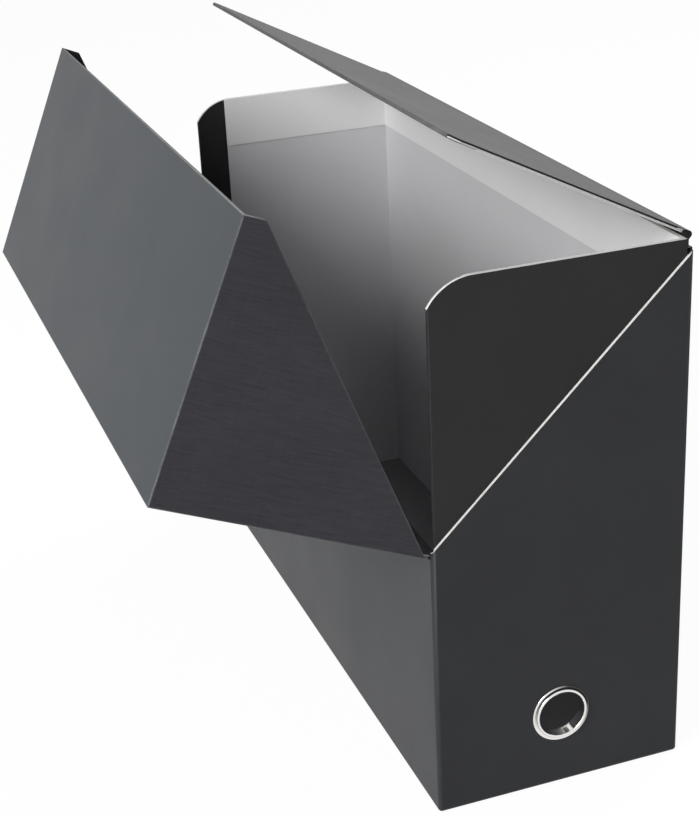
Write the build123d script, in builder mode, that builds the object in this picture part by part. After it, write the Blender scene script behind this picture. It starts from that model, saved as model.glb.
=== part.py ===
from build123d import *
import os

os.makedirs("parts", exist_ok=True)

# A file box of covered board for sheets standing on edge. X runs across the spine from the front face
# to the back face, Y from the spine to the far end, Z up. The origin is the centre of the base.

# Outside of the closed box
box_width = 120.0
box_depth = 350.0
box_height = 255.4

# Papers and boards
cover_paper = 0.3
case_board = 1.7
sleeve_paper = 0.2
sleeve_board = 1.6
lining_paper = 0.2
rim_card = 0.4
lid_board = 0.95
lid_paper = 0.15
flap_cloth = 0.3
flap_board = 1.2
flap_paper = 0.15

# Case walls: the front wall ends under the lid's crease, and the ends are cut on a slant up to the back
front_height = 128.1
slant_start = 2.9
back_lip = 1.1

# Sleeve: its die-cut front corners, and the paper turned in round its raw edges
corner_run = 20.0
corner_drop = 11.5
side_turn_in = 16.3
front_turn_in = 15.0
rim_strip_depth = 27.0

# Lid: the crease that it turns on, its gaps round the case, the short back edge of its gussets, and how
# many degrees it stands open
crease_out = 0.2
crease_up = 0.5
crease_radius = 0.35
lid_foot_gap = 0.4
lid_slant_gap = 0.5
lid_end_gap = 0.2
gusset_back = 9.7
lid_angle = 66.9

# Dust flap: the cloth roll that it turns on, its fit in the sleeve's mouth, and how many degrees it is raised
roll_radius = 1.6
roll_seat = 0.2
roll_end_gap = 0.2
roll_lid_gap = 0.6
flap_side_gap = 0.4
flap_front_gap = 0.2
flap_under = 0.4
flap_corner = 4.0
flap_hem = 12.0
flap_angle = 27.2

# Finger ring in the spine
ring_height = 37.2
ring_hole = 11.0
ring_wall = 0.5
ring_flange = 14.0
ring_proud = 1.5
ring_clearance = 0.1
washer_radius = 16.0
washer_thickness = 0.6
ring_curl = 13.0
ring_curl_proud = 0.9

# Half sizes from the outside in: case, its boards, the sleeve, its boards, the lining, the clear space
x_out = box_width / 2
y_out = box_depth / 2
x_board = x_out - cover_paper
y_board = y_out - cover_paper
x_sleeve = x_board - case_board
y_sleeve = y_board - case_board
x_core = x_sleeve - sleeve_paper
y_core = y_sleeve - sleeve_paper
x_lining = x_core - sleeve_board
y_lining = y_core - sleeve_board
x_clear = x_lining - lining_paper
y_clear = y_lining - lining_paper

# Levels of the base and of the front wall's raw boards
z_board = cover_paper
z_sleeve = z_board + case_board
z_lining = z_sleeve + sleeve_board
z_front = front_height - sleeve_paper

# The closed lid's underside, and below it the cloth roll on the sleeve's rim
lid_wall = cover_paper + lid_board + lid_paper
roll_x = x_sleeve
roll_z = box_height - lid_wall - roll_lid_gap - roll_radius
rim_height = roll_z - roll_radius - roll_seat

# The line along the crease, and the height of the slanted cut at any place across the box
crease_x = -x_out - crease_out
crease_z = front_height + crease_up
slant_front = front_height + slant_start
slant_back = box_height - gusset_back - lid_slant_gap


def slant(x):
    return slant_front + (slant_back - slant_front) * (x + x_out) / box_width


def turned(x, z, degrees):
    """The placement of pieces that have swung about the line along Y at x and z."""
    return Location((x, 0, z)) * Location((0, 0, 0), (0, degrees, 0)) * Location((-x, 0, -z))


closed = Location((0, 0, 0))
lid_swing = turned(crease_x, crease_z, -lid_angle)
flap_swing = turned(roll_x, roll_z, flap_angle)


def across(y, swing=closed):
    """A plane facing -Y, drawn on in X and Z."""
    return Plane(swing * Plane.XZ.offset(-y).location)


def along(x, swing=closed):
    """A plane facing +X, drawn on in Y and Z."""
    return Plane(swing * Plane.YZ.offset(x).location)


def level(z, swing=closed):
    """A plane facing +Z, drawn on in X and Y."""
    return Plane(swing * Plane.XY.offset(z).location)


def oblong(low_x, high_x, low_y, high_y):
    return [(low_x, low_y), (high_x, low_y), (high_x, high_y), (low_x, high_y)]


def save(piece, name):
    piece.part.label = name
    export_step(piece.part, f"parts/{name}.step")


def make_sheet(name, leaves, cuts=()):
    """Board or paper made of flat leaves, each a plane, an outline and a thickness, less what is cut."""
    with BuildPart() as piece:
        for plane, outline, thickness in leaves:
            with BuildSketch(plane):
                with BuildLine():
                    Polyline(*outline, close=True)
                make_face()
            extrude(amount=thickness)
        for cut in cuts:
            add(cut.part, mode=Mode.SUBTRACT)
    save(piece, name)


# The die that rounds the sleeve's two top front corners: its arc leaves the rim level and meets the
# front edge at an angle.
with BuildPart() as corner_die:
    with BuildSketch(Plane.XZ):
        with BuildLine():
            arc = TangentArc(
                (corner_run - x_sleeve, rim_height), (-x_sleeve, rim_height - corner_drop), tangent=(-1, 0)
            )
            Polyline(
                arc @ 1,
                (-box_width, rim_height - corner_drop),
                (-box_width, box_height),
                (corner_run - x_sleeve, box_height),
                arc @ 0,
            )
        make_face()
    extrude(amount=box_depth, both=True)

# The hole through the spine and the sleeve that the finger ring is set in
with BuildPart() as ring_drill:
    with BuildSketch(across(-box_depth)):
        with Locations((0, ring_height)):
            Circle(ring_hole + ring_wall + ring_clearance)
    extrude(amount=-box_depth)


# Case: board walls and a board base, covered outside

make_sheet("base_cover", [(level(0), oblong(-x_out, x_out, -y_out, y_out), cover_paper)])
make_sheet("base_board", [(level(z_board), oblong(-x_board, x_board, -y_board, y_board), case_board)])

front_outline = oblong(-y_sleeve, y_sleeve, z_sleeve, z_front)
make_sheet("front_board", [(along(-x_board), front_outline, case_board)])

back_height = slant_back + back_lip
back_outline = oblong(-y_sleeve, y_sleeve, z_sleeve, back_height - cover_paper)
make_sheet("back_board", [(along(x_sleeve), back_outline, case_board)])


def slant_outline(half_width, foot):
    """An end of the case: level at its foot, cut on the slant above."""
    front_top = (-half_width, slant(-half_width))
    back_top = (half_width, slant(half_width))
    return [(-half_width, foot), (half_width, foot), back_top, front_top]


end_board = slant_outline(x_board, z_sleeve)
make_sheet("spine_board", [(across(-y_sleeve), end_board, case_board)], [ring_drill])
make_sheet("far_end_board", [(across(y_board), end_board, case_board)])

end_cover = slant_outline(x_board, z_board)
make_sheet("spine_cover", [(across(-y_board), end_cover, cover_paper)], [ring_drill])
make_sheet("far_end_cover", [(across(y_out), end_cover, cover_paper)])

# The front cover ends at the crease, and the back cover is turned over the top of the back wall
make_sheet("front_cover", [(along(-x_out), oblong(-y_out, y_out, z_board, front_height), cover_paper)])
make_sheet(
    "back_cover",
    [
        (along(x_board), oblong(-y_out, y_out, z_board, slant_back), cover_paper),
        (along(x_board), oblong(-y_sleeve, y_sleeve, slant_back, back_height), cover_paper),
        (level(back_height - cover_paper), oblong(x_sleeve, x_board, -y_sleeve, y_sleeve), cover_paper),
    ],
)

# Paper turned over the top of the front wall and down inside it
wrap_foot = front_height - front_turn_in
make_sheet(
    "front_edge_wrap",
    [
        (level(z_front), oblong(-x_board, -x_sleeve, -y_sleeve, y_sleeve), sleeve_paper),
        (level(z_front), oblong(-x_sleeve, -x_clear, -y_clear, y_clear), sleeve_paper),
        (along(-x_clear), oblong(-y_clear, y_clear, wrap_foot, front_height), sleeve_paper),
    ],
)

# The crease: the cover paper between case and lid, folded into a narrow roll on the lid's axis
with BuildPart() as crease:
    with BuildSketch(across(y_sleeve)):
        with Locations((crease_x, crease_z)):
            Circle(crease_radius)
        with Locations((-x_out, front_height)):
            Rectangle(cover_paper, crease_up - crease_radius / 3, align=(Align.MIN, Align.MIN))
    extrude(amount=2 * y_sleeve)
save(crease, "hinge_crease")


# Sleeve: a second, taller box of board glued inside the case, papered outside and lined in white

make_sheet(
    "sleeve_base_board", [(level(z_sleeve), oblong(-x_lining, x_lining, -y_lining, y_lining), sleeve_board)]
)
sleeve_front = oblong(-y_lining, y_lining, z_sleeve, z_front)
make_sheet("sleeve_front_board", [(along(-x_core), sleeve_front, sleeve_board)])
sleeve_back = oblong(-y_lining, y_lining, z_sleeve, rim_height)
make_sheet("sleeve_back_board", [(along(x_lining), sleeve_back, sleeve_board)])
sleeve_end = oblong(-x_core, x_core, z_sleeve, rim_height)
make_sheet("sleeve_near_board", [(across(-y_lining), sleeve_end, sleeve_board)], [corner_die, ring_drill])
make_sheet("sleeve_far_board", [(across(y_core), sleeve_end, sleeve_board)], [corner_die])

sleeve_side = oblong(-x_sleeve, x_sleeve, z_sleeve, rim_height)
make_sheet(
    "sleeve_cover",
    [
        (across(-y_core), sleeve_side, sleeve_paper),
        (across(y_sleeve), sleeve_side, sleeve_paper),
        (along(x_core), oblong(-y_core, y_core, z_sleeve, rim_height), sleeve_paper),
        (along(-x_sleeve), oblong(-y_core, y_core, z_sleeve, z_front), sleeve_paper),
    ],
    [corner_die, ring_drill],
)

# Linings, each between its neighbours, and the dark paper turned in round the two front edges
turn_in_x = side_turn_in - x_sleeve
end_lining = [
    (-x_lining, z_lining),
    (x_lining, z_lining),
    (x_lining, rim_height),
    (turn_in_x, rim_height),
    (turn_in_x, z_front),
    (-x_lining, z_front),
]
side_turned_in = oblong(-x_core, turn_in_x, z_front, rim_height)
for name, side in (("near", -1), ("far", 1)):
    lining_plane = across(min(side * y_lining, side * y_clear) + lining_paper)
    make_sheet(f"{name}_lining", [(lining_plane, end_lining, lining_paper)], [corner_die, ring_drill])
    front_face = sorted((side * y_clear, side * y_core))
    make_sheet(
        f"{name}_edge_wrap",
        [
            (lining_plane, side_turned_in, lining_paper),
            (along(-x_sleeve), oblong(*front_face, z_front, rim_height), sleeve_paper),
        ],
        [corner_die],
    )
make_sheet("base_lining", [(level(z_lining), oblong(-x_clear, x_clear, -y_clear, y_clear), lining_paper)])
make_sheet("front_lining", [(along(-x_lining), oblong(-y_clear, y_clear, z_lining, z_front), lining_paper)])
make_sheet("back_lining", [(along(x_clear), oblong(-y_clear, y_clear, z_lining, rim_height), lining_paper)])

# White card strip that stiffens the rim along both ends and the back
strip_foot = rim_height - rim_strip_depth
strip_side = oblong(turn_in_x, x_clear, strip_foot, rim_height)
make_sheet(
    "rim_strip",
    [
        (across(rim_card - y_clear), strip_side, rim_card),
        (across(y_clear), strip_side, rim_card),
        (along(x_clear - rim_card), oblong(-y_clear, y_clear, strip_foot, rim_height), rim_card),
    ],
    [corner_die],
)


# Lid: front and top panels with a gusset at each end, drawn closed and swung open about the crease

lid_foot = crease_z + lid_foot_gap
lid_notch = slant(lid_wall - x_out) + lid_slant_gap
lid_top_board = box_height - cover_paper
lid_top_lining = lid_top_board - lid_board
x_lid_lining = x_board - lid_board
y_lid_lining = y_board - lid_board
x_lid_clear = x_lid_lining - lid_paper
y_lid_clear = y_lid_lining - lid_paper


def lid_front_outline(half_width, top):
    """The lid's front panel, notched at its two lower corners to clear the ends of the case."""
    inner = y_sleeve - lid_end_gap
    return [
        (-inner, lid_foot),
        (inner, lid_foot),
        (inner, lid_notch),
        (half_width, lid_notch),
        (half_width, top),
        (-half_width, top),
        (-half_width, lid_notch),
        (-inner, lid_notch),
    ]


def gusset_outline(front_x, top):
    """A gusset: its lower edge follows the case's slanted cut, and its back edge is short and upright."""
    return [
        (front_x, slant(front_x) + lid_slant_gap),
        (x_out, slant(x_out) + lid_slant_gap),
        (x_out, top),
        (front_x, top),
    ]


make_sheet(
    "lid_cover",
    [
        (along(-x_out, lid_swing), lid_front_outline(y_out, box_height), cover_paper),
        (level(lid_top_board, lid_swing), oblong(-x_board, x_out, -y_out, y_out), cover_paper),
    ],
)
make_sheet(
    "lid_front_board",
    [(along(-x_board, lid_swing), lid_front_outline(y_lid_lining, lid_top_lining), lid_board)],
)
make_sheet(
    "lid_top_board",
    [(level(lid_top_lining, lid_swing), oblong(-x_board, x_out, -y_lid_lining, y_lid_lining), lid_board)],
)
make_sheet(
    "lid_lining",
    [
        (along(-x_lid_lining, lid_swing), lid_front_outline(y_lid_clear, lid_top_lining), lid_paper),
        (
            level(lid_top_lining - lid_paper, lid_swing),
            oblong(-x_lid_clear, x_out, -y_lid_clear, y_lid_clear),
            lid_paper,
        ),
    ],
)
for name, side in (("near", -1), ("far", 1)):
    cover_plane = across(min(side * y_board, side * y_out) + cover_paper, lid_swing)
    board_plane = across(min(side * y_board, side * y_lid_lining) + lid_board, lid_swing)
    paper_plane = across(min(side * y_lid_lining, side * y_lid_clear) + lid_paper, lid_swing)
    gusset = gusset_outline(-x_board, lid_top_board)
    make_sheet(f"{name}_gusset_cover", [(cover_plane, gusset, cover_paper)])
    make_sheet(f"{name}_gusset_board", [(board_plane, gusset, lid_board)])
    gusset_inside = gusset_outline(-x_lid_lining, lid_top_lining)
    make_sheet(f"{name}_gusset_lining", [(paper_plane, gusset_inside, lid_paper)])


# Dust flap: thin board lying across the sleeve's mouth, drawn level and swung up about its cloth roll

flap_half = y_clear - rim_card - flap_side_gap
flap_start = roll_x - roll_radius
flap_end = flap_front_gap - x_sleeve
z_flap_lining = roll_z - flap_under
z_flap_board = z_flap_lining + flap_paper
z_flap_cloth = z_flap_board + flap_board


def flap_outline(start, end, corner):
    """The flap seen from above, with its two free corners cut off."""
    return [
        (start, -flap_half),
        (start, flap_half),
        (end + corner, flap_half),
        (end, flap_half - corner),
        (end, corner - flap_half),
        (end + corner, -flap_half),
    ]


# The roll of cloth along the back rim
with BuildPart() as hinge_roll:
    with BuildSketch(across(y_sleeve - roll_end_gap, flap_swing)):
        with Locations((roll_x, roll_z)):
            Circle(roll_radius)
    extrude(amount=2 * (y_sleeve - roll_end_gap))
save(hinge_roll, "flap_hinge_roll")

# The cloth covers the top and turns round the free edge with a hem below
with BuildPart() as flap_cover:
    with BuildSketch(level(z_flap_cloth, flap_swing)):
        with BuildLine():
            Polyline(*flap_outline(flap_start, flap_end, flap_corner), close=True)
        make_face()
    extrude(amount=flap_cloth)
    with BuildSketch(level(z_flap_lining, flap_swing)):
        with BuildLine():
            Polyline(*flap_outline(flap_end + flap_hem, flap_end, flap_corner), close=True)
        make_face()
    extrude(amount=z_flap_cloth - z_flap_lining)
    with BuildSketch(level(z_flap_board, flap_swing)):
        with BuildLine():
            Polyline(*flap_outline(flap_end + flap_hem, flap_end + flap_cloth, flap_corner), close=True)
        make_face()
    extrude(amount=flap_board, mode=Mode.SUBTRACT)
save(flap_cover, "flap_cloth")

flap_core = flap_outline(flap_start, flap_end + flap_cloth, flap_corner)
make_sheet("flap_board", [(level(z_flap_board, flap_swing), flap_core, flap_board)])
flap_underside = oblong(flap_end + flap_hem, flap_start, -flap_half, flap_half)
make_sheet("flap_lining", [(level(z_flap_lining, flap_swing), flap_underside, flap_paper)])


# Finger ring: a rolled metal eyelet through the spine, clenched over a washer inside the sleeve

washer_face = washer_thickness - y_clear
with BuildPart() as washer:
    with BuildSketch(across(washer_face)):
        with Locations((0, ring_height)):
            Circle(washer_radius)
            Circle(ring_hole + ring_wall + ring_clearance, mode=Mode.SUBTRACT)
    extrude(amount=washer_thickness)
save(washer, "ring_washer")

with BuildPart() as ring:
    with BuildSketch(Plane.XY.offset(ring_height)):
        with BuildLine():
            Polyline((ring_hole, -y_out), (ring_hole, washer_face))
            ThreePointArc(
                (ring_hole, washer_face),
                ((ring_hole + ring_curl) / 2, washer_face + ring_curl_proud),
                (ring_curl, washer_face),
            )
            Polyline(
                (ring_curl, washer_face),
                (ring_hole + ring_wall, washer_face),
                (ring_hole + ring_wall, -y_out),
                (ring_flange, -y_out),
            )
            ThreePointArc(
                (ring_flange, -y_out),
                ((ring_hole + ring_flange) / 2, -y_out - ring_proud),
                (ring_hole, -y_out),
            )
        make_face()
    revolve(axis=Axis((0, 0, ring_height), (0, 1, 0)))
save(ring, "finger_ring")
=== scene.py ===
import math

import bmesh
import bpy
from mathutils import Matrix, Vector


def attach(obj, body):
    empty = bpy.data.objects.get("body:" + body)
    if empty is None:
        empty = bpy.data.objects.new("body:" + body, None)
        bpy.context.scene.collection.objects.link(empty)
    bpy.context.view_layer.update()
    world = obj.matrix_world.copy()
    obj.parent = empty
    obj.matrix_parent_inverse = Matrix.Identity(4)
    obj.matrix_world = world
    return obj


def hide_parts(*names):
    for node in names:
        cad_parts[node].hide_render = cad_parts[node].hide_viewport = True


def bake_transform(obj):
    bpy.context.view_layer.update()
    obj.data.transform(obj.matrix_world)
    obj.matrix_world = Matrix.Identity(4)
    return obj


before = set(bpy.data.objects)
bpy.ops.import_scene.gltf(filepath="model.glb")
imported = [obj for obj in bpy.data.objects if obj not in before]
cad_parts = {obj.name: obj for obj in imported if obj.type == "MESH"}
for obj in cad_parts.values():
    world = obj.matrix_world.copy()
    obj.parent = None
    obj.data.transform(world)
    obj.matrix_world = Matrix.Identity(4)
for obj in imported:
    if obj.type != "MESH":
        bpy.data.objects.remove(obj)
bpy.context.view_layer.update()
scene = bpy.context.scene
scene.view_settings.view_transform = "Standard"
mm = 0.001


# Camera. A long lens stands to the left of the spine and looks down on the open mouth,
# rolled by about three degrees.
camera_place = Vector((-285.0, -744.97, 466.5)) * mm
camera_forward = Vector((0.29322, 0.86855, -0.39954)).normalized()
camera_right = Vector((0.93955, -0.33908, -0.0476))
camera_up = camera_right.cross(camera_forward).normalized()
camera_right = camera_forward.cross(camera_up)
camera_data = bpy.data.cameras.new("camera")
camera_data.sensor_width = 36
camera_data.lens = 73.765
camera_data.clip_end = 20
camera = bpy.data.objects.new("camera", camera_data)
scene.collection.objects.link(camera)
camera_frame = Matrix((camera_right, camera_up, -camera_forward)).transposed().to_4x4()
camera.matrix_world = Matrix.Translation(camera_place) @ camera_frame
scene.camera = camera


# Studio. A pale floor lies under an even white surround. A soft lamp at the upper left shines into
# the box's mouth, a weak one stands low on the left, and a broad one behind on the right. Floor and
# surround read as plain white, and the floor keeps a faint shadow.
def add(tree, kind, sockets=None, **settings):
    """Adds a node. A socket takes a value, or another node's output to link to."""
    node = tree.nodes.new("ShaderNode" + kind)
    for name, value in settings.items():
        setattr(node, name, value)
    for name, value in (sockets or {}).items():
        if isinstance(value, bpy.types.NodeSocket):
            tree.links.new(value, node.inputs[name])
        else:
            node.inputs[name].default_value = value
    return node


def seen_plainly(tree):
    """One for rays that show a surface as it is: from the camera, off metal or through glass."""
    rays = add(tree, "LightPath").outputs
    seen = rays["Is Camera Ray"]
    for kind in ("Is Glossy Ray", "Is Transmission Ray"):
        seen = add(tree, "Math", {0: seen, 1: rays[kind]}, operation="MAXIMUM").outputs[0]
    return seen


surround_low, surround_high = 0.1, 0.19
white = (1, 1, 1, 1)
surround = bpy.data.worlds.new("studio_surround")
scene.world = surround
surround.use_nodes = True
tree = surround.node_tree
tree.nodes.clear()
direction = add(tree, "TexCoord").outputs["Generated"]
height = add(tree, "SeparateXYZ", {0: direction}).outputs["Z"]
level = add(tree, "MapRange", {0: height, 1: -0.2, 2: 0.9, 3: surround_low, 4: surround_high}).outputs[0]
lighting = add(tree, "Background", {"Color": white, "Strength": level})
plain = add(tree, "Background", {"Color": white, "Strength": 1.0})
mixed = add(tree, "MixShader", {0: seen_plainly(tree), 1: lighting.outputs[0], 2: plain.outputs[0]})
add(tree, "OutputWorld", {"Surface": mixed.outputs[0]})

floor_drop, floor_side, floor_white = 0.3 * mm, 8.0, 0.86
floor_glow, floor_plainness = 1.02, 0.93
below_foot = Matrix.Translation((0, 0, -floor_drop))
bm = bmesh.new()
bmesh.ops.create_grid(bm, x_segments=1, y_segments=1, size=floor_side / 2, matrix=below_foot)
floor_mesh = bpy.data.meshes.new("floor")
bm.to_mesh(floor_mesh)
bm.free()
floor = bpy.data.objects.new("floor", floor_mesh)
scene.collection.objects.link(floor)
material = bpy.data.materials.new("floor_pale")
material.use_nodes = True
tree = material.node_tree
tree.nodes.clear()
plain_share = add(tree, "Math", {0: seen_plainly(tree), 1: floor_plainness}, operation="MULTIPLY").outputs[0]
matt = add(tree, "BsdfDiffuse", {"Color": (floor_white, floor_white, floor_white, 1)})
bright = add(tree, "Emission", {"Color": white, "Strength": floor_glow})
mixed = add(tree, "MixShader", {0: plain_share, 1: matt.outputs[0], 2: bright.outputs[0]})
add(tree, "OutputMaterial", {"Surface": mixed.outputs[0]})
floor_mesh.materials.append(material)

lamp_aim = Vector((0, 0, 0.15))
lamps = {
    "lamp_left": ((-1.7, -1.0, 1.3), 1.0, 50.0),
    "lamp_low": ((-1.6, -0.6, 0.25), 0.8, 1.5),
    "lamp_right": ((1.3, 0.6, 1.6), 1.3, 16.0),
}
for name, (place, side, power) in lamps.items():
    lamp_data = bpy.data.lights.new(name, "AREA")
    lamp_data.size = side
    lamp_data.energy = power
    lamp = bpy.data.objects.new(name, lamp_data)
    scene.collection.objects.link(lamp)
    turned = (lamp_aim - Vector(place)).to_track_quat("-Z", "Y")
    lamp.matrix_world = Matrix.Translation(place) @ turned.to_matrix().to_4x4()


# Case cover. Charcoal paper embossed like linen is glued over the case's boards: one sheet runs
# under the base and up the front and back, and each end has a piece of its own, cut on the slant.
# It is rounded over the board's edges, where the coating rubs pale.
box_width, box_depth, box_height = 120 * mm, 350 * mm, 255.4 * mm
cover_paper, case_board = 0.3 * mm, 1.7 * mm
front_height, slant_start, slant_back, back_lip = 128.1 * mm, 2.9 * mm, 245.2 * mm, 1.1 * mm
sleeve_half_width, sleeve_half_depth = 58 * mm, 173 * mm
case_round, edge_round, round_steps = 1.8 * mm, 0.8 * mm, 5
ring_height, punched_hole, hole_segments = 37.2 * mm, 11.6 * mm, 72
hair, weld = 1e-6, 1e-7


def new_group(name, inputs, outputs):
    """An empty node group from a place and numbers to numbers, and the sockets of what it is given."""
    group = bpy.data.node_groups.new(name, "ShaderNodeTree")
    group.interface.new_socket("Vector", in_out="INPUT", socket_type="NodeSocketVector")
    for socket in inputs:
        group.interface.new_socket(socket, in_out="INPUT", socket_type="NodeSocketFloat")
    for socket in outputs:
        group.interface.new_socket(socket, in_out="OUTPUT", socket_type="NodeSocketFloat")
    return group, group.nodes.new("NodeGroupInput").outputs


def linen_group():
    """Fine raised threads along each axis, as three stretched noises, and a soft cloudy tone."""
    group, given = new_group(
        "linen_emboss", ["Across X", "Across Y", "Across Z", "Pitch"], ["Threads", "Cloud"]
    )
    total = None
    for index, axis in enumerate("XYZ"):
        stretch = [0.05, 0.05, 0.05]
        stretch[index] = 1.0
        scaled = add(group, "VectorMath", {0: given["Vector"], "Scale": given["Pitch"]}, operation="SCALE")
        drawn = add(group, "VectorMath", {0: scaled.outputs[0], 1: stretch}, operation="MULTIPLY")
        noise = add(
            group, "TexNoise", {"Vector": drawn.outputs[0], "Scale": 1.0, "Detail": 2.0, "Roughness": 0.6}
        )
        weighed = add(group, "Math", {0: noise.outputs[0], 1: given["Across " + axis]}, operation="MULTIPLY")
        if total:
            weighed = add(group, "Math", {0: total, 1: weighed.outputs[0]}, operation="ADD")
        total = weighed.outputs[0]
    cloud = add(
        group, "TexNoise", {"Vector": given["Vector"], "Scale": 22.0, "Detail": 3.0, "Roughness": 0.55}
    )
    result = group.nodes.new("NodeGroupOutput")
    group.links.new(total, result.inputs["Threads"])
    group.links.new(cloud.outputs[0], result.inputs["Cloud"])
    return group


def wear_group():
    """Where an edge is rubbed: the painted edge attribute, broken up by two sizes of noise."""
    group, given = new_group("edge_wear", ["Edge", "Amount"], ["Rubbed"])
    long_noise = add(group, "TexNoise", {"Vector": given["Vector"], "Scale": 60.0, "Detail": 2.0})
    fine_noise = add(group, "TexNoise", {"Vector": given["Vector"], "Scale": 900.0, "Detail": 2.0})
    patches = add(group, "MapRange", {0: long_noise.outputs[0], 1: 0.35, 2: 0.65, 3: 0.55, 4: 1.0})
    specks = add(group, "MapRange", {0: fine_noise.outputs[0], 1: 0.3, 2: 0.7, 3: 0.5, 4: 1.0})
    broken = add(group, "Math", {0: patches.outputs[0], 1: specks.outputs[0]}, operation="MULTIPLY")
    edge = add(group, "Math", {0: given["Edge"], 1: 1.5}, operation="POWER")
    rubbed = add(group, "Math", {0: broken.outputs[0], 1: edge.outputs[0]}, operation="MULTIPLY")
    scaled = add(group, "Math", {0: rubbed.outputs[0], 1: given["Amount"]}, operation="MULTIPLY")
    result = group.nodes.new("NodeGroupOutput")
    group.links.new(scaled.outputs[0], result.inputs["Rubbed"])
    return group


linen_emboss = linen_group()
edge_wear = wear_group()


def new_material(name, gloss, turn=0.0):
    """A material, its tree, its shader and its place; turn brings a swung piece back to its axes."""
    material = bpy.data.materials.new(name)
    material.use_nodes = True
    tree = material.node_tree
    shader = tree.nodes["Principled BSDF"]
    shader.inputs["Specular IOR Level"].default_value = gloss
    place = add(tree, "TexCoord").outputs["Object"]
    if turn:
        place = add(tree, "Mapping", {"Vector": place, "Rotation": (0, turn, 0)}).outputs[0]
    return material, tree, shader, place


def embossed_paper(
    name, colour, pale, threads, turn=0.0, roughness=0.42, wear=0.6, relief=0.05, tone=0.10, pitch=1700.0,
    gloss=0.12, cloudy=0.06, bloom=None,
):
    """Coated paper or bookcloth with a linen emboss, rubbed pale where it is worn."""
    material, tree, shader, place = new_material(name, gloss, turn)
    across_x, across_y, across_z = threads
    linen = add(
        tree, "Group",
        {"Vector": place, "Across X": across_x, "Across Y": across_y, "Across Z": across_z, "Pitch": pitch},
        node_tree=linen_emboss,
    )
    edge = add(tree, "Attribute", attribute_name="worn").outputs["Fac"]
    rubbed = add(tree, "Group", {"Vector": place, "Edge": edge, "Amount": wear}, node_tree=edge_wear)
    low, high = sum(threads) / 2 - 0.3, sum(threads) / 2 + 0.3
    shade = add(tree, "MapRange", {0: linen.outputs["Threads"], 1: low, 2: high, 3: 1 - tone, 4: 1 + tone})
    cloud = add(tree, "MapRange", {0: linen.outputs["Cloud"], 1: 0.3, 2: 0.7, 3: 1 - cloudy, 4: 1 + cloudy})
    both = add(tree, "Math", {0: shade.outputs[0], 1: cloud.outputs[0]}, operation="MULTIPLY")
    toned = add(tree, "VectorMath", {0: colour, "Scale": both.outputs[0]}, operation="SCALE")
    toned = toned.outputs[0]
    if bloom:
        patches = add(tree, "TexNoise", {"Vector": place, "Scale": 48.0, "Detail": 2.0, "Roughness": 0.5})
        share = add(tree, "MapRange", {0: patches.outputs[0], 1: 0.4, 2: 0.75})
        toned = add(tree, "Mix", {0: share.outputs[0], 6: toned, 7: (*bloom, 1)}, data_type="RGBA").outputs[2]
    mixed = add(tree, "Mix", {0: rubbed.outputs[0], 6: toned, 7: (*pale, 1)}, data_type="RGBA")
    bump = add(tree, "Bump", {"Height": linen.outputs["Threads"], "Distance": relief * mm, "Strength": 1.0})
    low, high = roughness - 0.03, roughness + 0.03
    rough = add(tree, "MapRange", {0: linen.outputs["Cloud"], 1: 0.3, 2: 0.7, 3: low, 4: high})
    tree.links.new(mixed.outputs[2], shader.inputs["Base Color"])
    tree.links.new(bump.outputs[0], shader.inputs["Normal"])
    tree.links.new(rough.outputs[0], shader.inputs["Roughness"])
    return material


def round_over(bm, worn, edges, radius=edge_round, steps=round_steps):
    """Rounds edges and marks the middle of each round as worn."""
    rounds = bmesh.ops.bevel(
        bm, geom=edges, offset=radius, offset_type="OFFSET", segments=steps, affect="EDGES", profile=0.5,
        material=-1,
    )["faces"]
    inside = set(rounds)
    for face in rounds:
        face.smooth = True
        for vert in face.verts:
            vert[worn] = 1.0 if all(f in inside for f in vert.link_faces) else 0.0


def cut(bm, point, normal, faces=None, clear_outer=False, clear_inner=False):
    """Cuts the whole mesh, or just some of its faces, along a plane."""
    chosen = faces if faces is not None else bm.faces[:]
    edges = dict.fromkeys(e for f in chosen for e in f.edges)
    verts = dict.fromkeys(v for f in chosen for v in f.verts)
    bmesh.ops.bisect_plane(
        bm, geom=[*verts, *edges, *chosen], dist=weld, plane_co=point, plane_no=normal,
        clear_outer=clear_outer, clear_inner=clear_inner,
    )


def facing(bm, normal, place=None):
    """The faces that point along a direction; with place given, only where it passes their centre."""
    faces = [f for f in bm.faces if f.normal.dot(Vector(normal)) > 0.999]
    return faces if place is None else [f for f in faces if place(f.calc_center_median())]


def points_in(made):
    """The points among the elements that a mesh operation has made."""
    return [v for v in made if isinstance(v, bmesh.types.BMVert)]


def punch(bm, face, centre, radius):
    """Opens a round hole in one flat face."""
    outline = list(face.edges)
    bmesh.ops.delete(bm, geom=[face], context="FACES_ONLY")
    stand = Matrix.Translation(centre) @ Matrix.Rotation(math.radians(90), 4, "X")
    ring = bmesh.ops.create_circle(
        bm, cap_ends=False, segments=hole_segments, radius=radius, matrix=stand
    )["verts"]
    circle = list(dict.fromkeys(e for v in ring for e in v.link_edges))
    bmesh.ops.triangle_fill(bm, edges=outline + circle, use_beauty=True, use_dissolve=False)


def finish_piece(name, bm, material, body, replaced, thickness=None):
    """Gives a sheet its thickness, inwards, and makes it a piece of the object."""
    if thickness:
        bmesh.ops.recalc_face_normals(bm, faces=bm.faces[:])
        bmesh.ops.solidify(bm, geom=bm.faces[:], thickness=thickness)
    bmesh.ops.remove_doubles(bm, verts=bm.verts[:], dist=weld)
    bmesh.ops.recalc_face_normals(bm, faces=bm.faces[:])
    mesh = bpy.data.meshes.new(name)
    bm.to_mesh(mesh)
    bm.free()
    mesh.materials.append(material)
    piece = bpy.data.objects.new(name, mesh)
    scene.collection.objects.link(piece)
    if body:
        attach(piece, body)
    if replaced:
        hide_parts(*replaced)
    return piece


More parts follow.
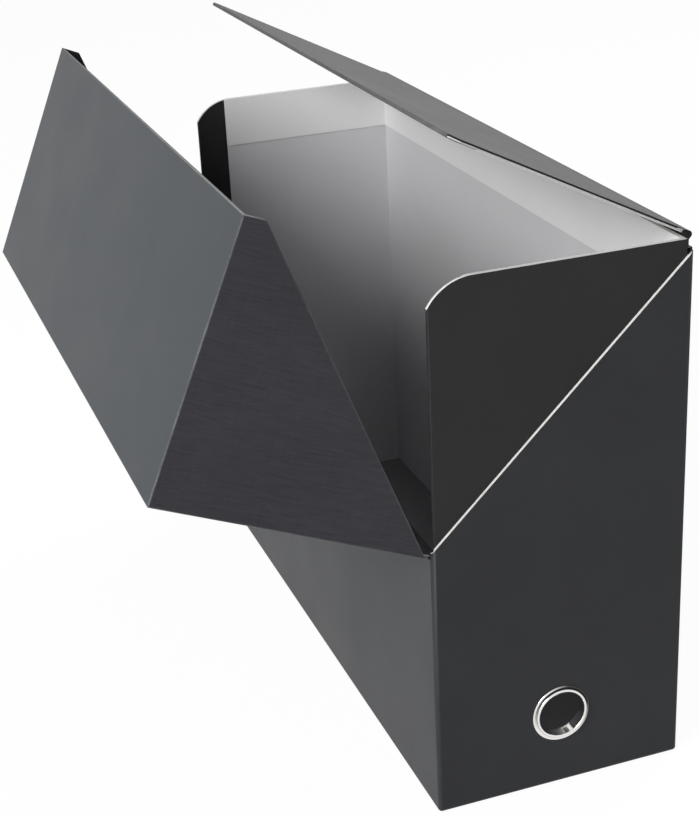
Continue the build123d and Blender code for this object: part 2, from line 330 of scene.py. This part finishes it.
charcoal, rubbed_pale = (0.0312, 0.0323, 0.0357), (0.24, 0.245, 0.25)
case_paper = embossed_paper("charcoal_case_paper", charcoal, rubbed_pale, (0.35, 0.35, 0.7), wear=0.05)
x_out, y_out = box_width / 2, box_depth / 2
slant_front = front_height + slant_start
slant_rise = slant_back - slant_front


def case_shell(inset, front_top, slant_drop):
    """The case's outer skin, or the skin below it: open above, cut on the slant, round at its edges."""
    bm = bmesh.new()
    worn = bm.verts.layers.float.new("worn")
    size = Matrix.Diagonal((box_width - 2 * inset, box_depth - 2 * inset, box_height, 1))
    bmesh.ops.create_cube(bm, size=1, matrix=Matrix.Translation((0, 0, inset + box_height / 2)) @ size)
    cut(bm, (-x_out, 0, slant_front - slant_drop), (-slant_rise, 0, box_width), clear_outer=True)
    round_over(bm, worn, [e for e in bm.edges if not e.is_boundary], case_round - inset)
    for side in (-1, 1):
        for face_side in (-1, 1):
            cut(bm, (0, side * sleeve_half_depth, 0), (0, 1, 0), facing(bm, (face_side, 0, 0)))
    cut(bm, (0, 0, front_top), (0, 0, 1), facing(bm, (-1, 0, 0), lambda c: abs(c.y) < sleeve_half_depth))
    above_crease = facing(bm, (-1, 0, 0), lambda c: abs(c.y) < sleeve_half_depth and c.z > front_top)
    bmesh.ops.delete(bm, geom=above_crease, context="FACES")
    punch(bm, facing(bm, (0, -1, 0))[0], (0, inset - y_out, ring_height), punched_hole)
    return bm


def fold_over(bm, edges, *shifts):
    """Carries a sheet's cut edge on, one fold after another."""
    for shift in shifts:
        grown = bmesh.ops.extrude_edge_only(bm, edges=edges)["geom"]
        bmesh.ops.translate(bm, verts=points_in(grown), vec=shift)
        edges = [e for e in grown if isinstance(e, bmesh.types.BMEdge) and e.is_boundary and e.link_faces]
        edges = [e for e in edges if abs(e.verts[0].co.y - e.verts[1].co.y) > 0.1 * mm]


def back_edges(bm, x, low, high):
    """The sheet's cut edges along the top of the back, between two distances from the middle."""
    return [
        e for e in bm.edges
        if e.is_boundary and all(v.co.x > x and low < abs(v.co.y) < high for v in e.verts)
    ]


bm = case_shell(0.0, front_height, 0.0)
wall = cover_paper + case_board
middle_edges = back_edges(bm, x_out - hair, -1, sleeve_half_depth + hair)
corner_edges = back_edges(bm, x_out - hair, sleeve_half_depth - hair, 1)
fold_over(bm, middle_edges, (0, 0, back_lip), (-wall, 0, 0))
fold_over(bm, corner_edges, (-wall, 0, -wall * slant_rise / box_width))
finish_piece(
    "case_cover", bm, case_paper, "case",
    ["front_cover", "back_cover", "base_cover", "spine_cover", "far_end_cover"], cover_paper,
)


# Case boards. Pale board, 1.7 mm thick, stands inside the cover on five sides. Its cut edge shows
# as a thin pale line along the slant at each end.
def board(name, face, core, turn=0.0):
    """Solid board: mottled fibre between the colours of its face and its core."""
    material, tree, shader, place = new_material(name, 0.2, turn)
    fibre = add(tree, "TexNoise", {"Vector": place, "Scale": 1400.0, "Detail": 3.0, "Roughness": 0.6})
    patch = add(tree, "TexNoise", {"Vector": place, "Scale": 90.0, "Detail": 2.0})
    both = add(tree, "Math", {0: fibre.outputs[0], 1: patch.outputs[0]}, operation="MULTIPLY")
    share = add(tree, "MapRange", {0: both.outputs[0], 1: 0.12, 2: 0.4})
    mixed = add(tree, "Mix", {0: share.outputs[0], 6: (*core, 1), 7: (*face, 1)}, data_type="RGBA")
    bump = add(tree, "Bump", {"Height": fibre.outputs[0], "Distance": 0.05 * mm, "Strength": 0.6})
    tree.links.new(mixed.outputs[2], shader.inputs["Base Color"])
    tree.links.new(bump.outputs[0], shader.inputs["Normal"])
    shader.inputs["Roughness"].default_value = 0.85
    return material


def dress(material, *nodes):
    """Gives a material to CAD nodes whose shape stays as it is."""
    for node in nodes:
        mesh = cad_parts[node].data
        mesh.materials.clear()
        mesh.materials.append(material)


cut_board = board("cut_case_board", (0.80, 0.79, 0.77), (0.62, 0.61, 0.59))
board_top, board_drop = 127.9 * mm, 0.15 * mm
bm = case_shell(cover_paper, board_top, board_drop)
bmesh.ops.recalc_face_normals(bm, faces=bm.faces[:])
bmesh.ops.solidify(bm, geom=bm.faces[:], thickness=case_board)
for vert in bm.verts:
    slant_top = slant_front - board_drop + slant_rise * (vert.co.x + x_out) / box_width
    vert.co.z = min(vert.co.z, slant_top)
finish_piece(
    "case_boards", bm, cut_board, "case",
    ["base_board", "front_board", "back_board", "spine_board", "far_end_board"],
)


# Sleeve cover. A second, taller box stands inside the case; its dark paper runs from the turned-in
# front edge along one end, round the back and along the other end, and is die-cut in an arc at the
# two front corners.
sleeve_paper, sleeve_board, lining_paper = 0.2 * mm, 1.6 * mm, 0.2 * mm
rim_height, sleeve_foot = 250 * mm, 2 * mm
corner_run, corner_drop, side_turn_in = 20 * mm, 11.5 * mm, 16.3 * mm
bend, bend_steps, arc_steps = 0.6 * mm, 5, 16
inner_half_depth = sleeve_half_depth - sleeve_paper - sleeve_board - lining_paper
corner_radius = (corner_run**2 + corner_drop**2) / (2 * corner_drop)


def rim_at(x):
    """Height of the sleeve's rim: level, then an arc down to the front edge."""
    centre = corner_run - sleeve_half_width
    if x >= centre:
        return rim_height
    return rim_height - corner_radius + math.sqrt(corner_radius**2 - (x - centre) ** 2)


def round_corner(path, corner, before, after, radius, steps):
    """Adds a rounded corner between two directions to a path of points."""
    centre = corner - before * radius + after * radius
    for i in range(steps + 1):
        angle = math.pi / 2 * i / steps
        path.append(centre - after * radius * math.cos(angle) + before * radius * math.sin(angle))


sleeve_shade = embossed_paper(
    "charcoal_sleeve_paper", (0.0262, 0.0262, 0.0278), rubbed_pale, (0.3, 0.3, 0.6), tone=0.06, roughness=0.6
)
bm = bmesh.new()
worn = bm.verts.layers.float.new("worn")
path = []
turn_in_x = side_turn_in - sleeve_half_width
along_x, along_y = Vector((1, 0)), Vector((0, 1))
for i in range(arc_steps):
    x = turn_in_x + (bend - side_turn_in) * i / arc_steps
    path.append(Vector((x, -inner_half_depth)))
round_corner(path, Vector((-sleeve_half_width, -inner_half_depth)), -along_x, -along_y, bend, bend_steps)
round_corner(path, Vector((-sleeve_half_width, -sleeve_half_depth)), -along_y, along_x, bend, bend_steps)
for i in range(1, arc_steps + 1):
    x = bend - sleeve_half_width + (corner_run - bend) * i / arc_steps
    path.append(Vector((x, -sleeve_half_depth)))
round_corner(path, Vector((sleeve_half_width, -sleeve_half_depth)), along_x, along_y, bend, bend_steps)
path += [Vector((p.x, -p.y)) for p in reversed(path)]
feet = [bm.verts.new((p.x, p.y, sleeve_foot)) for p in path]
walls = [bm.edges.new(pair) for pair in zip(feet, feet[1:])]
grown = bmesh.ops.extrude_edge_only(bm, edges=walls)["geom"]
for vert in points_in(grown):
    vert.co.z = rim_at(vert.co.x)
bmesh.ops.recalc_face_normals(bm, faces=bm.faces[:])
for face in bm.faces:
    face.smooth = max(abs(face.normal.x), abs(face.normal.y)) < 0.999
near_faces = [f for way in (-1, 1) for f in facing(bm, (0, way, 0), lambda c: c.y < hair - sleeve_half_depth)]
hole_face = [f for f in near_faces if min(v.co.x for v in f.verts) < 0 < max(v.co.x for v in f.verts)]
punch(bm, hole_face[0], (0, -sleeve_half_depth, ring_height), punched_hole)
finish_piece(
    "sleeve_cover_paper", bm, sleeve_shade, "case",
    ["sleeve_cover", "near_edge_wrap", "far_edge_wrap"], sleeve_paper,
)


# Sleeve boards, linings and rim strip. White-faced board is lined with thin white paper, and the
# base with mid-grey paper whose darkness is painted shade. A white card strip stiffens the rim along
# the ends and the back, and a black paper is turned over the case's front wall.
def plain_paper(name, colour, roughness=0.75):
    """Uncoated paper: faint fibres and a soft unevenness."""
    material, tree, shader, place = new_material(name, 0.25)
    fibre = add(tree, "TexNoise", {"Vector": place, "Scale": 1100.0, "Detail": 3.0, "Roughness": 0.7})
    cloud = add(tree, "TexNoise", {"Vector": place, "Scale": 18.0, "Detail": 2.0})
    both = add(tree, "Math", {0: fibre.outputs[0], 1: cloud.outputs[0]}, operation="ADD")
    shade = add(tree, "MapRange", {0: both.outputs[0], 1: 0.7, 2: 1.3, 3: 0.97, 4: 1.02})
    toned = add(tree, "VectorMath", {0: colour, "Scale": shade.outputs[0]}, operation="SCALE")
    bump = add(tree, "Bump", {"Height": fibre.outputs[0], "Distance": 0.02 * mm, "Strength": 0.5})
    tree.links.new(toned.outputs[0], shader.inputs["Base Color"])
    tree.links.new(bump.outputs[0], shader.inputs["Normal"])
    shader.inputs["Roughness"].default_value = roughness
    return material


white_board = board("white_faced_board", (0.86, 0.85, 0.82), (0.70, 0.69, 0.66))
dress(
    white_board,
    "sleeve_base_board", "sleeve_front_board", "sleeve_back_board", "sleeve_near_board", "sleeve_far_board",
)
lining = plain_paper("white_lining_paper", (0.70, 0.70, 0.715))
dress(lining, "near_lining", "far_lining", "front_lining", "back_lining")
dress(plain_paper("white_rim_card", (0.90, 0.90, 0.90), 0.6), "rim_strip")
black_paper = plain_paper("black_lining_paper", (0.012, 0.012, 0.014), 0.6)
dress(black_paper, "front_edge_wrap")
# The base paper's mid-grey is painted shade: it darkens the floor seen through the ring hole.
dress(plain_paper("painted_shade_base_paper", (0.27, 0.27, 0.28)), "base_lining")


# Lid cover. One sheet of the case's paper covers the lid's front and top, and two more cover its
# gussets; one corner is chipped. Their colours are lighter and bluer than the case's paper, as painted
# sheen and painted reflection of the surround. The lid is drawn shut and swung open about the crease,
# as it stands at rest.
lid_angle, flap_angle = math.radians(66.9), math.radians(27.2)
crease_x, crease_z = -60.2 * mm, 128.6 * mm
lid_foot, lid_slant_gap, lid_corner = 129.0 * mm, 0.5 * mm, 172.8 * mm
rubbed_band = 0.5 * mm
gusset_wear, front_wear, chip_wear, chip_radius = 0.8, 0.15, 3.0, 1.6 * mm
lid_swing = Matrix.Rotation(-lid_angle, 3, "Y")

# A lighter, bluer copy of the case's charcoal paper: painted sheen and painted reflection.
lid_paper = embossed_paper(
    "charcoal_lid_paper", (0.0337, 0.0390, 0.0437), rubbed_pale, (0.5, 0.5, 0.3), turn=lid_angle,
    tone=0.12, roughness=0.40, cloudy=0.10, wear=0.5, bloom=(0.0349, 0.0393, 0.0456),
)
# A lighter copy of the case's charcoal paper: painted sheen.
gusset_paper = embossed_paper(
    "charcoal_gusset_paper", (0.0381, 0.0371, 0.0434), rubbed_pale, (1.0, 0.0, 0.4), turn=lid_angle,
    tone=0.24, relief=0.1, pitch=1900.0, wear=0.9,
)
bm = bmesh.new()
worn = bm.verts.layers.float.new("worn")
blank = Matrix.Translation((0, 0, box_height / 2)) @ Matrix.Diagonal((box_width, box_depth, box_height, 1))
bmesh.ops.create_cube(bm, size=1, matrix=blank)
cut(bm, (-x_out, 0, slant_front + lid_slant_gap), (-slant_rise, 0, box_width), clear_inner=True)
bmesh.ops.delete(bm, geom=facing(bm, (1, 0, 0)), context="FACES")
round_over(bm, worn, [e for e in bm.edges if not e.is_boundary])
for side in (-1, 1):
    cut(bm, (0, side * lid_corner, 0), (0, 1, 0), facing(bm, (-1, 0, 0)))
foot = [
    e for e in bm.edges
    if e.is_boundary and all(v.co.x < -x_out + hair and abs(v.co.y) < lid_corner + hair for v in e.verts)
]
grown = bmesh.ops.extrude_edge_only(bm, edges=foot)["geom"]
for vert in points_in(grown):
    vert.co.z = lid_foot
slant_normal = Vector((-slant_rise, 0, box_width)).normalized()
slant_edge = Vector((-x_out, 0, slant_front + lid_slant_gap)) + slant_normal * rubbed_band
for side in (-1, 1):
    cut(bm, slant_edge, slant_normal, facing(bm, (0, side, 0)))
cut(bm, (x_out - rubbed_band, 0, 0), (1, 0, 0))
cut(bm, (0, 0, slant_front + lid_slant_gap + rubbed_band), (0, 0, 1), facing(bm, (-1, 0, 0)))
for vert in bm.verts:
    if vert.is_boundary and vert.co.z > slant_front:
        vert[worn] = gusset_wear if abs(vert.co.y) > lid_corner + 10 * hair else front_wear
for face in facing(bm, (0, 1, 0)) + facing(bm, (0, -1, 0)):
    face.material_index = 1
chipped = Vector((x_out, -y_out, box_height))
for vert in bm.verts:
    if vert.is_boundary and (vert.co - chipped).length < chip_radius:
        vert[worn] = chip_wear
bmesh.ops.rotate(bm, cent=(crease_x, 0, crease_z), matrix=lid_swing, verts=bm.verts)
lid_cover = finish_piece(
    "lid_cover_paper", bm, lid_paper, "lid",
    ["lid_cover", "near_gusset_cover", "far_gusset_cover"], cover_paper,
)
lid_cover.data.materials.append(gusset_paper)


# Lid boards and lining. Thin grey board, papered black inside.
grey_board = board("grey_lid_board", (0.32, 0.32, 0.315), (0.24, 0.24, 0.235), lid_angle)
dress(grey_board, "lid_front_board", "lid_top_board", "near_gusset_board", "far_gusset_board")
dress(black_paper, "lid_lining", "near_gusset_lining", "far_gusset_lining")


# Crease. The cover paper bends on a scored line between the case's front and the lid, which swings
# on it.
on_case = [(-60.0, 127.95), (-60.0, 128.1), (-60.35, 128.28), (-60.55, 128.6)]
on_lid = [(-60.35, 128.85), (-60.0, 129.05), (-60.0, 129.6)]
crease_paper, crease_wear = 0.12 * mm, 0.6
bm = bmesh.new()
worn = bm.verts.layers.float.new("worn")
outline = [Vector((x * mm, -lid_corner, z * mm)) for x, z in on_case]
pivot = Vector((crease_x, 0, crease_z))
outline += [pivot + lid_swing @ (Vector((x * mm, -lid_corner, z * mm)) - pivot) for x, z in on_lid]
run = [bm.verts.new(p) for p in outline]
for vert in run[1:-1]:
    vert[worn] = crease_wear
strip = [bm.edges.new(pair) for pair in zip(run, run[1:])]
grown = bmesh.ops.extrude_edge_only(bm, edges=strip)["geom"]
bmesh.ops.translate(bm, verts=points_in(grown), vec=(0, 2 * lid_corner, 0))
for face in bm.faces:
    face.smooth = True
crease = finish_piece("crease_paper", bm, case_paper, None, ["hinge_crease"], crease_paper)
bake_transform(crease)


# Dust flap. Bookcloth covers a board and is turned round its free edge as a hem, and white paper
# covers the rest below. At the back the cloth rolls over a round core and down the back of the
# sleeve, as the flap's hinge.
roll_x, roll_z, roll_radius = 58 * mm, 251.8 * mm, 1.6 * mm
flap_under, flap_paper, flap_board, flap_cloth = 0.4 * mm, 0.15 * mm, 1.2 * mm, 0.3 * mm
flap_reach, flap_hem, flap_corner, flap_half = 115.8 * mm, 12 * mm, 4 * mm, 170.2 * mm
flap_top = flap_paper + flap_board + flap_cloth - flap_under
flap_turn = Matrix.Rotation(flap_angle, 3, "Y")
hinge = Vector((roll_x, 0, roll_z))
into_flap, over_board = flap_turn @ Vector((-1, 0, 0)), flap_turn @ Vector((0, 0, 1))
hinge_half, roll_reach, roll_steps, wrap_start = 172.8 * mm, 3 * mm, 8, math.radians(-25)
bent_length, flap_wear, side_drop, side_spread = 1.2 * mm, 0.5, 0.7 * mm, 0.25 * mm


def on_flap(reach, rise, y=0.0):
    """A point given by its distance from the hinge line and its height over it, with the flap level."""
    return hinge + flap_turn @ Vector((-reach, y, rise))


def past_roll(place):
    """Whether a point is on the flap itself, beyond the cloth that wraps the roll."""
    return (place - hinge).dot(into_flap) > roll_reach


bookcloth = embossed_paper(
    "grey_bookcloth", (0.065, 0.065, 0.065), (0.2, 0.2, 0.2), (1.0, 0.6, 0.0), turn=-flap_angle,
    tone=0.4, pitch=1300.0, roughness=0.6, relief=0.2, wear=0.3, gloss=0.4,
)
bm = bmesh.new()
worn = bm.verts.layers.float.new("worn")
outline = [Vector((sleeve_half_width + 0.35 * mm, 0, z * mm)) for z in (246.5, 248.0, 249.6)]
wrap_radius = roll_radius + 0.12 * mm
for step in range(roll_steps + 1):
    angle = wrap_start + (math.pi / 2 - flap_angle - wrap_start) * step / roll_steps
    outline.append(hinge + Vector((math.cos(angle), 0, math.sin(angle))) * wrap_radius)
outline += [on_flap(1.6 * mm, 1.55 * mm), on_flap(3 * mm, flap_top + 0.05 * mm), on_flap(4.5 * mm, flap_top)]
free_edge = [
    on_flap(flap_reach - 0.35 * mm, flap_top), on_flap(flap_reach - 0.1 * mm, flap_top - 0.1 * mm),
    on_flap(flap_reach, flap_top - 0.35 * mm), on_flap(flap_reach, -flap_under + 0.2 * mm),
]
rubbed = range(len(outline), len(outline) + len(free_edge))
outline += free_edge
outline += [on_flap(flap_reach - 0.2 * mm, -flap_under), on_flap(flap_reach - flap_hem, -flap_under)]
run = [bm.verts.new(p + Vector((0, -hinge_half, 0))) for p in outline]
for index in rubbed:
    run[index][worn] = flap_wear
strip = [bm.edges.new(pair) for pair in zip(run, run[1:])]
grown = bmesh.ops.extrude_edge_only(bm, edges=strip)["geom"]
bmesh.ops.translate(bm, verts=points_in(grown), vec=(0, 2 * hinge_half, 0))
for face in bm.faces:
    ends = [e for e in face.edges if abs(e.verts[0].co.y - e.verts[1].co.y) < mm]
    face.smooth = max(e.calc_length() for e in ends) < bent_length
for side in (-1, 1):
    flap_faces = [f for f in bm.faces if past_roll(f.calc_center_median())]
    cut(bm, (0, side * flap_half, 0), (0, side, 0), flap_faces)
    centres = [(f, f.calc_center_median()) for f in bm.faces]
    outer = [f for f, centre in centres if side * centre.y > flap_half and past_roll(centre)]
    bmesh.ops.delete(bm, geom=outer, context="FACES")
    corner = on_flap(flap_reach - flap_corner, 0, side * flap_half)
    cut(bm, corner, flap_turn @ Vector((-1, side, 0)), clear_outer=True)


def on_side(place):
    """Whether a point is on the flap's upper side, near one of its two ends."""
    on_top = (place - hinge).dot(over_board) > flap_top - 0.1 * mm
    return on_top and abs(place.y) > flap_half - flap_corner - mm and past_roll(place)


sides = [e for e in bm.edges if e.is_boundary and all(on_side(v.co) for v in e.verts)]
grown = bmesh.ops.extrude_edge_only(bm, edges=sides)["geom"]
for vert in points_in(grown):
    vert.co += over_board * -side_drop + Vector((0, math.copysign(side_spread, vert.co.y), 0))
flap_cover = finish_piece(
    "flap_bookcloth", bm, bookcloth, None, ["flap_cloth"], flap_cloth - 0.02 * mm
)
# Painted shade: the cloth's side lips, its end faces and the hinge roll are near-black, standing in for the
# shadow along those edges.
cloth_edge = plain_paper("painted_shade_cloth_edge", (0.006, 0.006, 0.006), 0.8)
flap_cover.data.materials.append(cloth_edge)
for polygon in flap_cover.data.polygons:
    if abs(polygon.normal.y) > 0.5:
        polygon.material_index = 1
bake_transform(flap_cover)
core_board = board("flap_core_board", (0.60, 0.59, 0.57), (0.44, 0.43, 0.42), -flap_angle)
dress(core_board, "flap_board")
dress(lining, "flap_lining")
# The hinge roll is near-black as painted shade.
dress(cloth_edge, "flap_hinge_roll")


# Finger ring. A nickel-plated steel eyelet through the spine, rolled over outside and clenched on a
# flat washer inside the sleeve. Its groove and outer flange carry painted dark reflections.
def plated(name, colour, roughness):
    """Plated steel, faintly hazy, and darkened as painted dark reflections where its attribute says so."""
    material, tree, shader, place = new_material(name, 0.5)
    haze = add(tree, "TexNoise", {"Vector": place, "Scale": 300.0, "Detail": 3.0})
    low, high = roughness * 0.7, roughness * 1.3
    rough = add(tree, "MapRange", {0: haze.outputs[0], 1: 0.3, 2: 0.7, 3: low, 4: high})
    tree.links.new(rough.outputs[0], shader.inputs["Roughness"])
    painted_dark = add(tree, "Attribute", attribute_name="painted_dark_reflection").outputs["Fac"]
    mixed = add(tree, "Mix", {0: painted_dark, 6: (*colour, 1), 7: (0.02, 0.02, 0.02, 1)}, data_type="RGBA")
    tree.links.new(mixed.outputs[2], shader.inputs["Base Color"])
    shader.inputs["Metallic"].default_value = 1.0
    return material


ring_profile = [
    (14.0, -0.02), (13.98, -0.2), (13.85, -0.42), (13.5, -0.56), (13.05, -0.55), (12.75, -0.45),
    (12.5, -0.5), (12.42, -0.85), (12.25, -1.2), (12.0, -1.42), (11.7, -1.5), (11.42, -1.42),
    (11.2, -1.22), (11.08, -0.95), (11.02, -0.7), (11.0, -0.4), (11.0, 3.0), (11.1, 4.3), (11.5, 4.85),
    (12.1, 5.0), (12.7, 4.8), (13.0, 4.65),
]
groove_inside, groove_outside, ring_steps, ring_wall = 12.4, 13.2, 96, 0.35 * mm
bm = bmesh.new()
painted_dark_reflection = bm.verts.layers.float.new("painted_dark_reflection")
run = [bm.verts.new((r * mm, y * mm - y_out, ring_height)) for r, y in ring_profile]
section = [bm.edges.new(pair) for pair in zip(run, run[1:])]
bmesh.ops.spin(
    bm, geom=run + section, cent=(0, 0, ring_height), axis=(0, 1, 0), dvec=(0, 0, 0), angle=math.tau,
    steps=ring_steps, use_merge=True,
)
# Painted dark reflections: by direction round the ring, the groove is darkened most on its upper half and the
# outer flange towards the upper right, standing in for dark reflections and the groove's shade.
for vert in bm.verts:
    spread = Vector((vert.co.x, 0, vert.co.z - ring_height))
    along, radius, rise = spread.normalized(), spread.length / mm, -(vert.co.y + y_out) / mm
    if groove_inside < radius < groove_outside and 0 < rise < 1:
        vert[painted_dark_reflection] = min(1.0, max(0.0, 0.6 + 0.9 * along.dot(Vector((0.25, 0, 0.97)))))
    elif radius > groove_outside and rise < 1:
        vert[painted_dark_reflection] = min(0.95, max(0.0, 1.6 * along.dot(Vector((0.86, 0, 0.5))) - 0.15))
for face in bm.faces:
    face.smooth = True
bright_plate = plated("bright_nickel", (0.80, 0.79, 0.77), 0.13)
ring = finish_piece("finger_ring_eyelet", bm, bright_plate, "case", ["finger_ring"], ring_wall)
rounding = ring.modifiers.new("rounding", "SUBSURF")
rounding.levels = rounding.render_levels = 1
dress(plated("dull_washer", (0.6, 0.6, 0.59), 0.35), "ring_washer")
